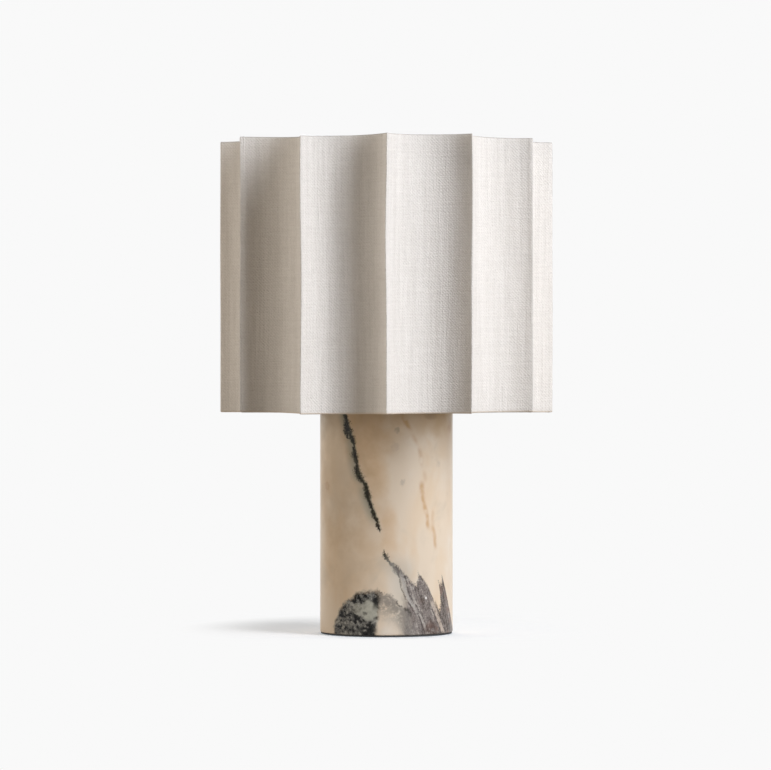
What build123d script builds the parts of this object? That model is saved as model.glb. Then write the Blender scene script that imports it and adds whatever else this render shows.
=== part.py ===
from build123d import *
import math
import os

# Rechargeable table lamp. A cored stone column holds a battery pack, a control board and a charging
# port. A short stem carries a column of light strips inside an opal sleeve, and a stud on top of that
# carries a fluted linen shade on a wire frame, held down by a knurled finial.
# Millimetres, +Z up, origin at the centre of the foot pad's underside, charging port facing +Y.

# Stone column, foot pad and base plate
column_diameter = 86.0
column_height = 157.0
column_arris = 0.6
core_depth = 112.0
core_clearance = 1.0
pad_thickness = 1.0
pad_inset = 0.5
plate_thickness = 3.0
plate_lip = 3.5
plate_clearance = 0.3
plate_screw_count = 3
plate_screw_diameter = 3.0
plate_screw_head = 6.0
plate_screw_length = 11.0
plate_screw_start = 30.0
insert_diameter = 5.0
insert_length = 10.0

# Battery pack and its holder
cell_count = 2
cell_diameter = 18.4
cell_length = 65.0
cell_gap = 1.2
cell_clearance = 0.4
cell_setback = 9.0
holder_wall = 2.0
holder_shelf = 3.0
holder_side_depth = 8.0
contact_thickness = 0.4
contact_width = 8.0
contact_overhang = 5.0

# Control board on the back of the holder
board_height = 50.0
board_lift = 12.0
board_thickness = 1.6
board_screw_inset = 4.0
board_screw_diameter = 2.0
board_screw_head = 3.8
board_screw_head_height = 1.3
board_screw_length = 4.4
standoff_diameter = 5.0
standoff_height = 3.0
connector_width = 6.0
connector_depth = 5.0
connector_height = 4.5
connector_gap = 1.0
chip_side = 7.0
chip_thickness = 1.2
coil_diameter = 9.0
coil_height = 4.5
capacitor_diameter = 6.0
capacitor_height = 7.0

# Charging port and power button, at the rear
port_height = 24.0
port_margin = 0.4
port_clearance = 0.3
bezel_width = 36.0
bezel_height = 16.0
bezel_thickness = 1.6
bezel_edge = 0.4
sleeve_width = 28.0
sleeve_height = 12.0
sleeve_wall = 1.2
usb_side = 6.6
usb_width = 9.0
usb_height = 3.3
usb_wall = 0.3
usb_recess = 0.3
usb_clearance = 0.15
tongue_width = 6.7
tongue_thickness = 0.7
tongue_recess = 0.8
button_side = 7.0
button_diameter = 8.0
button_proud = 1.0
button_travel = 0.8
button_fit = 0.15
button_edge = 0.4
flange_clearance = 0.3
flange_thickness = 0.9
switch_side = 6.0
switch_height = 3.6
switch_gap = 1.2
plunger_diameter = 3.4
plunger_engagement = 1.2
plunger_fit = 0.1
plunger_end_gap = 0.4
indicator_side = 0.4
indicator_diameter = 2.0
indicator_fit = 0.05
indicator_proud = 0.2
indicator_chip_side = 1.6
indicator_chip_height = 0.9

# Wires inside the column
port_lead_width = 5.0
port_lead_thickness = 1.0
led_lead_diameter = 2.6
led_lead_bend = 20.0
led_lead_rise = 10.0
led_lead_entry = 4.0
battery_lead_diameter = 1.4
battery_lead_bend = 4.2
battery_lead_loop = 8.5
battery_lead_landing = 5.0

# Stem between the column and the light
stem_diameter = 10.0
stem_bore = 7.0
stem_clearance = 0.5
stem_tail = 2.0
nut_ratio = 1.6
nut_height = 5.0
washer_diameter = 22.0
washer_thickness = 2.0
cap_diameter = 50.0
cap_thickness = 3.0
cap_edge = 0.8
collar_diameter = 22.0
collar_height = 10.0
collar_edge = 0.8

# Light column: base dish, core with strips, opal sleeve and lid
dish_boss_height = 7.0
dish_thickness = 4.0
dish_rim = 5.0
dish_rim_wall = 2.7
dish_edge = 0.8
opal_diameter = 52.0
opal_wall = 2.2
opal_clearance = 0.3
light_core_height = 80.0
light_core_wall = 5.0
light_core_crown = 14.0
terminal_width = 11.0
terminal_depth = 8.0
terminal_height = 10.0
terminal_clearance = 0.5
strip_edge = 2.0
strip_thickness = 1.0
strip_end_gap = 4.0
lamp_chip_side = 3.0
lamp_chip_thickness = 0.8
lamp_chips_per_strip = 6
light_core_sides = 6

# Shade seat, stud and finial
stud_diameter = 8.0
stud_in_core = 12.0
stud_in_finial = 13.0
stud_fit = 0.2
seat_nut_height = 6.5
seat_washer_diameter = 24.0
seat_washer_thickness = 1.5
hub_diameter = 34.0
hub_thickness = 3.0
finial_washer_diameter = 16.0
finial_washer_thickness = 1.2
finial_foot_diameter = 13.0
finial_foot_height = 7.0
finial_knob_diameter = 18.0
finial_knob_height = 15.0
finial_edge = 2.0
finial_fit = 0.1
finial_bore_spare = 1.5
knurl_count = 24
knurl_radius = 0.6

# Fluted linen shade and its wire frame
shade_diameter = 216.0
shade_height = 174.5
spider_drop = 44.0
flute_count = 12
flute_depth = 15.5
linen_thickness = 1.0
liner_thickness = 0.5
fold_tightness = 0.8
ring_wire = 3.0
ring_bend = 2.0
ring_clearance = 0.1
ring_setback = 2.2
arm_count = 3
arm_wire = 3.2
arm_bend = 14.0
arm_rise_run = 20.0

# Heights of the stack, from the table up
column_top = pad_thickness + column_height
plate_top = pad_thickness + plate_thickness
core_ceiling = pad_thickness + core_depth
stem_bottom = core_ceiling - washer_thickness - nut_height - stem_tail
collar_bottom = column_top + cap_thickness
dish_bottom = collar_bottom + collar_height
dish_floor = dish_bottom + dish_boss_height + dish_thickness
lid_bottom = dish_floor + light_core_height
lid_top = lid_bottom + dish_thickness
seat_washer_bottom = lid_top + seat_nut_height
hub_bottom = seat_washer_bottom + seat_washer_thickness
finial_washer_bottom = hub_bottom + hub_thickness
finial_bottom = finial_washer_bottom + finial_washer_thickness
stud_top = finial_bottom + stud_in_finial
shade_top = hub_bottom + spider_drop
shade_bottom = shade_top - shade_height

# Battery pack, core and base plate, worked out from the cells
cell_pitch = cell_diameter + cell_gap
holder_half_width = cell_count * cell_pitch / 2 - cell_gap / 2 + cell_clearance + holder_wall
holder_front = -cell_setback - cell_diameter / 2
holder_back = -cell_setback + cell_diameter / 2 + cell_clearance
cell_bottom = plate_top + holder_shelf + contact_thickness
cell_top = cell_bottom + cell_length
holder_top = cell_top + contact_thickness + holder_shelf
core_radius = math.hypot(holder_half_width, -holder_front) + core_clearance
plate_radius = column_diameter / 2 - plate_lip
plate_screw_circle = (core_radius + plate_radius) / 2
board_seat = holder_back + holder_wall + standoff_height
board_face = board_seat + board_thickness
board_half_width = 1.5 * connector_width + 2 * connector_gap + board_screw_head / 2 + board_screw_inset
board_width = 2 * board_half_width
board_bottom = plate_top + board_lift
board_middle = board_bottom + board_height / 2
connector_face = board_face + connector_depth
connector_top = board_bottom + board_height - connector_gap
battery_connector_side = connector_width + connector_gap

# Port, worked out from the flat that the bezel needs on the round column
port_flat = math.sqrt((column_diameter / 2) ** 2 - (bezel_width / 2 + port_margin) ** 2)
bezel_front = port_flat + bezel_thickness
flange_back = port_flat - flange_thickness
switch_front = flange_back - switch_gap
port_seat = switch_front - switch_height
port_board_back = port_seat - board_thickness
port_connector_end = port_board_back - connector_depth

# Light column, worked out from the terminal block in the core
light_core_bore = math.hypot(terminal_width, terminal_depth) + 2 * terminal_clearance
light_core_flats = light_core_bore + 2 * light_core_wall
strip_width = light_core_flats * math.tan(math.pi / light_core_sides) - 2 * strip_edge
strip_height = light_core_height - 2 * strip_end_gap
dish_diameter = opal_diameter + 2 * (opal_clearance + dish_rim_wall)

# Flutes: each is an arc of that depth, running smoothly into the folded ridges on either side
half_flute = math.pi / flute_count
fold_radius = fold_tightness * linen_thickness
fold_centre = shade_diameter / 2 - fold_radius
flute_half_width = fold_centre * math.sin(half_flute)
flute_squares = flute_half_width**2 + flute_depth**2 - fold_radius**2
flute_radius = flute_squares / (2 * (flute_depth + fold_radius))
flute_centre = fold_centre * math.cos(half_flute) + flute_radius - flute_depth
front_ridge = -math.pi / 2
ring_inset = linen_thickness + liner_thickness + ring_clearance + ring_wire / 2
ring_reach = flute_centre - flute_radius - ring_inset
top_ring_height = shade_top - ring_setback
bottom_ring_height = shade_bottom + ring_setback

STANDING = (Align.CENTER, Align.CENTER, Align.MIN)
HANGING = (Align.CENTER, Align.CENTER, Align.MAX)


def polar(radius, angle):
    """The plan point at that radius and angle."""
    return (radius * math.cos(angle), radius * math.sin(angle))


def rear_plane(depth):
    """A plane across the port at that distance behind the lamp's axis, drawn as seen from behind."""
    return Plane(origin=(0, depth, port_height), x_dir=(-1, 0, 0), z_dir=(0, 1, 0))


def fluted_outline(inset, bend):
    """Draws the shade's plan, set in from the linen's face, with its ridges bent to a radius."""
    reach = flute_radius + inset
    offset_squared = (reach + bend) ** 2 - (flute_centre * math.sin(half_flute)) ** 2
    bend_centre = flute_centre * math.cos(half_flute) - math.sqrt(max(offset_squared, 0.0))

    def meeting(flute_angle, ridge_angle):
        centre = Vector(*polar(flute_centre, flute_angle))
        towards = Vector(*polar(bend_centre, ridge_angle)) - centre
        point = centre + towards * (reach / (reach + bend))
        return (point.X, point.Y)

    for flute in range(flute_count):
        middle = front_ridge + (2 * flute + 1) * half_flute
        ridge = middle + half_flute
        end = meeting(middle, ridge)
        ThreePointArc(meeting(middle, middle - half_flute), polar(flute_centre - reach, middle), end)
        if bend > 0:
            ThreePointArc(end, polar(bend_centre + bend, ridge), meeting(ridge + half_flute, ridge))


# Foot pad: dark rubber disc under the stone
with BuildPart() as foot_pad:
    Cylinder(column_diameter / 2 - pad_inset, pad_thickness, align=STANDING)

# Stone column: cored from below, drilled for the stem, with a flat and a tunnel for the port
with BuildPart() as marble_column:
    with Locations((0, 0, pad_thickness)):
        Cylinder(column_diameter / 2, column_height, align=STANDING)
    fillet(marble_column.edges().filter_by(GeomType.CIRCLE), column_arris)
    with Locations((0, 0, pad_thickness)):
        Cylinder(plate_radius + plate_clearance, plate_thickness, align=STANDING, mode=Mode.SUBTRACT)
        Cylinder(core_radius, core_depth, align=STANDING, mode=Mode.SUBTRACT)
        Cylinder(stem_diameter / 2 + stem_clearance, column_height, align=STANDING, mode=Mode.SUBTRACT)
    with Locations((0, 0, plate_top)):
        with PolarLocations(plate_screw_circle, plate_screw_count, start_angle=plate_screw_start):
            Cylinder(insert_diameter / 2, insert_length, align=STANDING, mode=Mode.SUBTRACT)
    with BuildSketch(rear_plane(port_flat)):
        Rectangle(column_diameter, bezel_height + 2 * port_margin)
    extrude(amount=column_diameter, mode=Mode.SUBTRACT)
    with BuildSketch(rear_plane(0)):
        SlotOverall(sleeve_width + 2 * port_clearance, sleeve_height + 2 * port_clearance)
    extrude(amount=column_diameter, mode=Mode.SUBTRACT)

# Threaded inserts: brass sleeves bonded into the stone for the base plate's screws
with BuildPart() as threaded_inserts:
    with Locations((0, 0, plate_top)):
        with PolarLocations(plate_screw_circle, plate_screw_count, start_angle=plate_screw_start):
            Cylinder(insert_diameter / 2, insert_length, align=STANDING)
            Cylinder(plate_screw_diameter / 2, insert_length, align=STANDING, mode=Mode.SUBTRACT)

# Base plate screws: countersunk heads, flush with the plate's underside
with BuildPart() as base_plate_screws:
    with Locations((0, 0, pad_thickness)):
        with PolarLocations(plate_screw_circle, plate_screw_count, start_angle=plate_screw_start):
            Cylinder(plate_screw_diameter / 2, plate_screw_length, align=STANDING)
            Cone(
                plate_screw_head / 2,
                plate_screw_diameter / 2,
                (plate_screw_head - plate_screw_diameter) / 2,
                align=STANDING,
            )

# Base plate: steel disc that closes the core
with BuildPart() as base_plate:
    with Locations((0, 0, pad_thickness)):
        Cylinder(plate_radius, plate_thickness, align=STANDING)
    add(base_plate_screws.part, mode=Mode.SUBTRACT)

# Battery holder: a moulded back with shelves, side cheeks and posts for the board
with BuildPart() as battery_holder:
    with Locations((0, holder_back, plate_top)):
        Box(
            2 * holder_half_width,
            holder_wall,
            holder_top - plate_top,
            align=(Align.CENTER, Align.MIN, Align.MIN),
        )
    for shelf_bottom in (plate_top, holder_top - holder_shelf):
        with Locations((0, holder_back, shelf_bottom)):
            Box(
                2 * holder_half_width,
                holder_back - holder_front,
                holder_shelf,
                align=(Align.CENTER, Align.MAX, Align.MIN),
            )
    for side, edge in ((-1, Align.MIN), (1, Align.MAX)):
        with Locations((side * holder_half_width, holder_back, plate_top)):
            Box(
                holder_wall,
                holder_side_depth,
                holder_top - plate_top,
                align=(edge, Align.MAX, Align.MIN),
            )
    with BuildSketch(Plane.XZ.offset(-holder_back - holder_wall)):
        with Locations((0, board_middle)):
            with GridLocations(
                board_width - 2 * board_screw_inset, board_height - 2 * board_screw_inset, 2, 2
            ):
                Circle(standoff_diameter / 2)
    extrude(amount=-standoff_height)
    with BuildSketch(Plane.XZ.offset(-board_seat)):
        with Locations((0, board_middle)):
            with GridLocations(
                board_width - 2 * board_screw_inset, board_height - 2 * board_screw_inset, 2, 2
            ):
                Circle(board_screw_diameter / 2)
    extrude(amount=board_screw_length - board_thickness, mode=Mode.SUBTRACT)

# Battery cells: two round lithium cells, upright side by side
with BuildPart() as battery_cells:
    with Locations((0, -cell_setback, cell_bottom)):
        with GridLocations(cell_pitch, cell_pitch, cell_count, 1):
            Cylinder(cell_diameter / 2, cell_length, align=STANDING)

# Battery contacts: strips across both ends of the cells
with BuildPart() as battery_contacts:
    for contact_bottom in (cell_bottom - contact_thickness, cell_top):
        with Locations((0, -cell_setback, contact_bottom)):
            Box(
                (cell_count - 1) * cell_pitch + 2 * contact_overhang,
                contact_width,
                contact_thickness,
                align=STANDING,
            )

# Control board: charging and dimming circuit, upright behind the cells
with BuildPart() as control_board:
    with Locations((0, board_seat, board_middle)):
        Box(board_width, board_thickness, board_height, align=(Align.CENTER, Align.MIN, Align.CENTER))
    with BuildSketch(Plane.XZ.offset(-board_seat)):
        with Locations((0, board_middle)):
            with GridLocations(
                board_width - 2 * board_screw_inset, board_height - 2 * board_screw_inset, 2, 2
            ):
                Circle(board_screw_diameter / 2)
    extrude(amount=-board_thickness, mode=Mode.SUBTRACT)

# Board screws: pan heads that hold the board on the holder's posts
with BuildPart() as board_screws:
    with BuildSketch(Plane.XZ.offset(-board_face)):
        with Locations((0, board_middle)):
            with GridLocations(
                board_width - 2 * board_screw_inset, board_height - 2 * board_screw_inset, 2, 2
            ):
                Circle(board_screw_diameter / 2)
    extrude(amount=board_screw_length)
    with BuildSketch(Plane.XZ.offset(-board_face)):
        with Locations((0, board_middle)):
            with GridLocations(
                board_width - 2 * board_screw_inset, board_height - 2 * board_screw_inset, 2, 2
            ):
                Circle(board_screw_head / 2)
    extrude(amount=-board_screw_head_height)

# Board components: driver chip, coil and capacitor on the board's rear face
with BuildPart() as board_components:
    with BuildSketch(Plane.XZ.offset(-board_face)):
        with Locations((-board_width / 5, board_middle)):
            Rectangle(chip_side, chip_side)
    extrude(amount=-chip_thickness)
    with BuildSketch(Plane.XZ.offset(-board_face)):
        with Locations((board_width / 5, board_middle + board_height / 8)):
            Circle(coil_diameter / 2)
    extrude(amount=-coil_height)
    with BuildSketch(Plane.XZ.offset(-board_face)):
        with Locations((board_width / 5, board_middle - board_height / 8)):
            Circle(capacitor_diameter / 2)
    extrude(amount=-capacitor_height)

# Wire connectors: for the light, the battery and the port, on the two boards
with BuildPart() as wire_connectors:
    for side in (0, battery_connector_side):
        with Locations((side, board_face, connector_top)):
            Box(
                connector_width,
                connector_depth,
                connector_height,
                align=(Align.CENTER, Align.MIN, Align.MAX),
            )
    for inner_face in (board_face, port_connector_end):
        with Locations((0, inner_face, port_height)):
            Box(
                connector_width,
                connector_depth,
                connector_height,
                align=(Align.CENTER, Align.MIN, Align.CENTER),
            )

# Port lead: flat ribbon between the control board and the port board
with BuildPart() as port_lead:
    with BuildSketch(rear_plane(connector_face)):
        Rectangle(port_lead_width, port_lead_thickness)
    extrude(amount=port_connector_end - connector_face)

# Battery lead: a wire from the top contact's shelf over the holder to the board
with BuildPart() as battery_lead:
    with BuildLine(Plane.YZ.offset(battery_connector_side)) as battery_lead_path:
        FilletPolyline(
            (board_face + connector_depth / 2, connector_top),
            (board_face + connector_depth / 2, holder_top + battery_lead_loop),
            (holder_back - battery_lead_landing, holder_top + battery_lead_loop),
            (holder_back - battery_lead_landing, holder_top),
            radius=battery_lead_bend,
        )
    with BuildSketch(Plane(battery_lead_path.line @ 0, z_dir=battery_lead_path.line % 0)):
        Circle(battery_lead_diameter / 2)
    sweep()

# Light lead: from the board up into the stem's bore and on to the terminal block
with BuildPart() as led_lead:
    with BuildLine(Plane.YZ) as led_lead_path:
        FilletPolyline(
            (board_face + connector_depth / 2, connector_top),
            (board_face + connector_depth / 2, holder_top + led_lead_rise - led_lead_entry),
            (0, stem_bottom - led_lead_entry),
            (0, dish_floor),
            radius=led_lead_bend,
        )
    with BuildSketch(Plane(led_lead_path.line @ 0, z_dir=led_lead_path.line % 0)):
        Circle(led_lead_diameter / 2)
    sweep()

# Port bezel: a flat pill-shaped plate with a sleeve that lines the tunnel through the stone
with BuildPart() as port_bezel:
    with BuildSketch(rear_plane(port_flat)):
        SlotOverall(bezel_width, bezel_height)
    extrude(amount=bezel_thickness)
    chamfer(port_bezel.faces().sort_by(Axis.Y)[-1].edges(), bezel_edge)
    with BuildSketch(rear_plane(port_seat)):
        SlotOverall(sleeve_width, sleeve_height)
        SlotOverall(
            sleeve_width - 2 * sleeve_wall, sleeve_height - 2 * sleeve_wall, mode=Mode.SUBTRACT
        )
    extrude(amount=port_flat - port_seat)
    with BuildSketch(rear_plane(port_flat)):
        with Locations((-usb_side, 0)):
            SlotOverall(usb_width + 2 * usb_clearance, usb_height + 2 * usb_clearance)
        with Locations((indicator_side, 0)):
            Circle(indicator_diameter / 2 + indicator_fit)
        with Locations((button_side, 0)):
            Circle(button_diameter / 2 + button_fit)
    extrude(amount=bezel_thickness, mode=Mode.SUBTRACT)

# Port board: carries the socket, the switch and the indicator behind the bezel
with BuildPart() as port_board:
    with BuildSketch(rear_plane(port_board_back)):
        SlotOverall(sleeve_width, sleeve_height)
    extrude(amount=board_thickness)

# Charging socket: the metal shell of a small reversible connector
usb_front = bezel_front - usb_recess
with BuildPart() as usb_socket:
    with BuildSketch(rear_plane(port_seat)):
        with Locations((-usb_side, 0)):
            SlotOverall(usb_width, usb_height)
    extrude(amount=usb_front - port_seat)
    with BuildSketch(rear_plane(port_seat + usb_wall)):
        with Locations((-usb_side, 0)):
            SlotOverall(usb_width - 2 * usb_wall, usb_height - 2 * usb_wall)
    extrude(amount=usb_front - port_seat, mode=Mode.SUBTRACT)

# Socket tongue: the contact blade in the middle of the shell
with BuildPart() as usb_tongue:
    with BuildSketch(rear_plane(port_seat + usb_wall)):
        with Locations((-usb_side, 0)):
            Rectangle(tongue_width, tongue_thickness)
    extrude(amount=usb_front - tongue_recess - port_seat - usb_wall)

# Indicator chip and lens: a charge light and the clear pin that shows it at the bezel
with BuildPart() as indicator_chip:
    with BuildSketch(rear_plane(port_seat)):
        with Locations((indicator_side, 0)):
            Rectangle(indicator_chip_side, indicator_chip_side)
    extrude(amount=indicator_chip_height)

with BuildPart() as indicator_lens:
    with BuildSketch(rear_plane(port_seat + indicator_chip_height)):
        with Locations((indicator_side, 0)):
            Circle(indicator_diameter / 2)
    extrude(amount=bezel_front + indicator_proud - port_seat - indicator_chip_height)

# Tact switch: its body on the port board, bored for the plunger
with BuildPart() as tact_switch:
    with BuildSketch(rear_plane(port_seat)):
        with Locations((button_side, 0)):
            Rectangle(switch_side, switch_side)
    extrude(amount=switch_height)
    with BuildSketch(rear_plane(switch_front)):
        with Locations((button_side, 0)):
            Circle(plunger_diameter / 2 + plunger_fit)
    extrude(amount=-plunger_engagement - button_travel - plunger_end_gap, mode=Mode.SUBTRACT)

# Power button: a round cap with a flange that stops it behind the bezel
with BuildPart() as power_button:
    with BuildSketch(rear_plane(flange_back)):
        with Locations((button_side, 0)):
            Circle(sleeve_height / 2 - sleeve_wall - flange_clearance)
    extrude(amount=flange_thickness)
    with BuildSketch(rear_plane(port_flat)):
        with Locations((button_side, 0)):
            Circle(button_diameter / 2)
    extrude(amount=bezel_thickness + button_proud)
    fillet(power_button.faces().sort_by(Axis.Y)[-1].edges(), button_edge)

# Switch plunger: the pin between the button and the switch
with BuildPart() as switch_plunger:
    with BuildSketch(rear_plane(flange_back)):
        with Locations((button_side, 0)):
            Circle(plunger_diameter / 2)
    extrude(amount=-switch_gap - plunger_engagement)

# Stem: threaded tube that clamps the column's fittings together
with BuildPart() as stem_tube:
    with Locations((0, 0, stem_bottom)):
        Cylinder(stem_diameter / 2, dish_floor - stem_bottom, align=STANDING)
        Cylinder(stem_bore / 2, dish_floor - stem_bottom, align=STANDING, mode=Mode.SUBTRACT)

# Stem washer and nut, under the core's ceiling
with BuildPart() as stem_washer:
    with Locations((0, 0, core_ceiling)):
        Cylinder(washer_diameter / 2, washer_thickness, align=HANGING)
        Cylinder(stem_diameter / 2, washer_thickness, align=HANGING, mode=Mode.SUBTRACT)

with BuildPart() as stem_nut:
    with BuildSketch(Plane.XY.offset(core_ceiling - washer_thickness)):
        RegularPolygon(nut_ratio * stem_diameter / 2, 6, major_radius=False)
        Circle(stem_diameter / 2, mode=Mode.SUBTRACT)
    extrude(amount=-nut_height)

# Column cap: brass disc on top of the stone
with BuildPart() as column_cap:
    with Locations((0, 0, column_top)):
        Cylinder(cap_diameter / 2, cap_thickness, align=STANDING)
    fillet(column_cap.edges().group_by(Axis.Z)[-1], cap_edge)
    with Locations((0, 0, column_top)):
        Cylinder(stem_diameter / 2, cap_thickness, align=STANDING, mode=Mode.SUBTRACT)

# Stem collar: round brass nut that pulls the cap down
with BuildPart() as stem_collar:
    with Locations((0, 0, collar_bottom)):
        Cylinder(collar_diameter / 2, collar_height, align=STANDING)
    chamfer(stem_collar.edges().filter_by(GeomType.CIRCLE), collar_edge)
    with Locations((0, 0, collar_bottom)):
        Cylinder(stem_diameter / 2, collar_height, align=STANDING, mode=Mode.SUBTRACT)

# Light dish: turned base on the stem, with a rim round the opal sleeve
with BuildPart() as light_dish:
    with Locations((0, 0, dish_bottom)):
        Cylinder(collar_diameter / 2, dish_boss_height, align=STANDING)
    with Locations((0, 0, dish_floor - dish_thickness)):
        Cylinder(dish_diameter / 2, dish_thickness + dish_rim, align=STANDING)
    chamfer(light_dish.edges().filter_by(GeomType.CIRCLE).sort_by(SortBy.RADIUS)[-2:], dish_edge)
    with Locations((0, 0, dish_floor)):
        Cylinder(opal_diameter / 2 + opal_clearance, dish_rim, align=STANDING, mode=Mode.SUBTRACT)
    with Locations((0, 0, dish_bottom)):
        Cylinder(
            stem_diameter / 2, dish_floor - dish_bottom, align=STANDING, mode=Mode.SUBTRACT
        )

# Terminal block: where the lead ends, inside the light core
with BuildPart() as terminal_block:
    with Locations((0, 0, dish_floor)):
        Box(terminal_width, terminal_depth, terminal_height, align=STANDING)

# Light core: hexagonal aluminium post that the strips are bonded to
with BuildPart() as light_core:
    with BuildSketch(Plane.XY.offset(dish_floor)):
        RegularPolygon(light_core_flats / 2, light_core_sides, major_radius=False)
    extrude(amount=light_core_height)
    with Locations((0, 0, dish_floor)):
        Cylinder(
            light_core_bore / 2,
            light_core_height - light_core_crown,
            align=STANDING,
            mode=Mode.SUBTRACT,
        )
    with Locations((0, 0, lid_bottom)):
        Cylinder(stud_diameter / 2, stud_in_core, align=HANGING, mode=Mode.SUBTRACT)

# Light strips: narrow boards, one on each flat of the core
flat_start = 180.0 / light_core_sides
with BuildPart() as light_strips:
    with Locations((0, 0, dish_floor + strip_end_gap)):
        with PolarLocations(
            light_core_flats / 2 + strip_thickness / 2, light_core_sides, start_angle=flat_start
        ):
            Box(strip_thickness, strip_width, strip_height, align=STANDING)

# Light chips: a row of emitters up each strip
chip_pitch = strip_height / lamp_chips_per_strip
with BuildPart() as light_chips:
    for row in range(lamp_chips_per_strip):
        with Locations((0, 0, dish_floor + strip_end_gap + (row + 0.5) * chip_pitch)):
            with PolarLocations(
                light_core_flats / 2 + strip_thickness + lamp_chip_thickness / 2,
                light_core_sides,
                start_angle=flat_start,
            ):
                Box(lamp_chip_thickness, lamp_chip_side, lamp_chip_side)

# Opal sleeve: frosted tube round the strips
with BuildPart() as opal_sleeve:
    with Locations((0, 0, dish_floor)):
        Cylinder(opal_diameter / 2, light_core_height, align=STANDING)
        Cylinder(
            opal_diameter / 2 - opal_wall, light_core_height, align=STANDING, mode=Mode.SUBTRACT
        )

# Light lid: turned cover over the sleeve and core
with BuildPart() as light_lid:
    with Locations((0, 0, lid_top)):
        Cylinder(dish_diameter / 2, dish_thickness + dish_rim, align=HANGING)
    chamfer(light_lid.edges().filter_by(GeomType.CIRCLE), dish_edge)
    with Locations((0, 0, lid_bottom)):
        Cylinder(opal_diameter / 2 + opal_clearance, dish_rim, align=HANGING, mode=Mode.SUBTRACT)
    with Locations((0, 0, lid_top)):
        Cylinder(stud_diameter / 2, dish_thickness, align=HANGING, mode=Mode.SUBTRACT)

# Shade stud: threaded rod from the core's crown up into the finial
with BuildPart() as shade_stud:
    with Locations((0, 0, lid_bottom - stud_in_core)):
        Cylinder(stud_diameter / 2, stud_top - lid_bottom + stud_in_core, align=STANDING)

# Seat nut: clamps the lid and makes the shoulder that the shade sits on
with BuildPart() as seat_nut:
    with BuildSketch(Plane.XY.offset(lid_top)):
        RegularPolygon(nut_ratio * stud_diameter / 2, 6, major_radius=False)
        Circle(stud_diameter / 2, mode=Mode.SUBTRACT)
    extrude(amount=seat_nut_height)

# Seat washer: nylon disc that the shade turns on
with BuildPart() as seat_washer:
    with Locations((0, 0, seat_washer_bottom)):
        Cylinder(seat_washer_diameter / 2, seat_washer_thickness, align=STANDING)
        Cylinder(
            stud_diameter / 2 + stud_fit,
            seat_washer_thickness,
            align=STANDING,
            mode=Mode.SUBTRACT,
        )

# Shade linen: the fluted outer shell, open at both ends, its ridges folded tight
with BuildPart() as shade_linen:
    with BuildSketch(Plane.XY.offset(shade_bottom)):
        with BuildLine():
            fluted_outline(0, fold_radius)
        make_face()
        with BuildLine():
            fluted_outline(linen_thickness, 0)
        make_face(mode=Mode.SUBTRACT)
    extrude(amount=shade_height)

# Shade liner: the white backing sheet that stiffens the linen
with BuildPart() as shade_liner:
    with BuildSketch(Plane.XY.offset(shade_bottom)):
        with BuildLine():
            fluted_outline(linen_thickness, 0)
        make_face()
        with BuildLine():
            fluted_outline(linen_thickness + liner_thickness, 0)
        make_face(mode=Mode.SUBTRACT)
    extrude(amount=shade_height)

# Shade rings: bent wire inside the top and bottom edges
with BuildPart() as top_ring:
    with BuildLine(Plane.XY.offset(top_ring_height)) as top_ring_path:
        fluted_outline(ring_inset, ring_bend)
    with BuildSketch(Plane(top_ring_path.line @ 0, z_dir=top_ring_path.line % 0)):
        Circle(ring_wire / 2)
    sweep()

with BuildPart() as bottom_ring:
    with BuildLine(Plane.XY.offset(bottom_ring_height)) as bottom_ring_path:
        fluted_outline(ring_inset, ring_bend)
    with BuildSketch(Plane(bottom_ring_path.line @ 0, z_dir=bottom_ring_path.line % 0)):
        Circle(ring_wire / 2)
    sweep()

# Spider hub: steel washer over the stud, which the shade hangs from
with BuildPart() as spider_hub:
    with Locations((0, 0, hub_bottom)):
        Cylinder(hub_diameter / 2, hub_thickness, align=STANDING)
        Cylinder(stud_diameter / 2 + stud_fit, hub_thickness, align=STANDING, mode=Mode.SUBTRACT)

# Spider arms: wires from the hub out to the top ring, welded at both ends
arm_height = hub_bottom + hub_thickness / 2
with BuildPart() as spider_arms:
    for arm in range(arm_count):
        arm_angle = front_ridge + (2 * (arm * flute_count // arm_count) + 1) * half_flute
        arm_plane = Plane(
            origin=(0, 0, 0),
            x_dir=(math.cos(arm_angle), math.sin(arm_angle), 0),
            z_dir=(math.sin(arm_angle), -math.cos(arm_angle), 0),
        )
        with BuildLine(arm_plane) as arm_path:
            FilletPolyline(
                (hub_diameter / 4, arm_height),
                (ring_reach - arm_rise_run, arm_height),
                (ring_reach, top_ring_height),
                radius=arm_bend,
            )
        with BuildSketch(Plane(arm_path.line @ 0, z_dir=arm_path.line % 0)):
            Circle(arm_wire / 2)
        sweep()
    with Locations((0, 0, arm_height)):
        Cylinder(hub_diameter / 2, 2 * arm_wire, mode=Mode.SUBTRACT)
    add(top_ring.part, mode=Mode.SUBTRACT)

# Finial washer: soft disc between the hub and the finial
with BuildPart() as finial_washer:
    with Locations((0, 0, finial_washer_bottom)):
        Cylinder(finial_washer_diameter / 2, finial_washer_thickness, align=STANDING)
        Cylinder(
            stud_diameter / 2 + stud_fit,
            finial_washer_thickness,
            align=STANDING,
            mode=Mode.SUBTRACT,
        )

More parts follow.
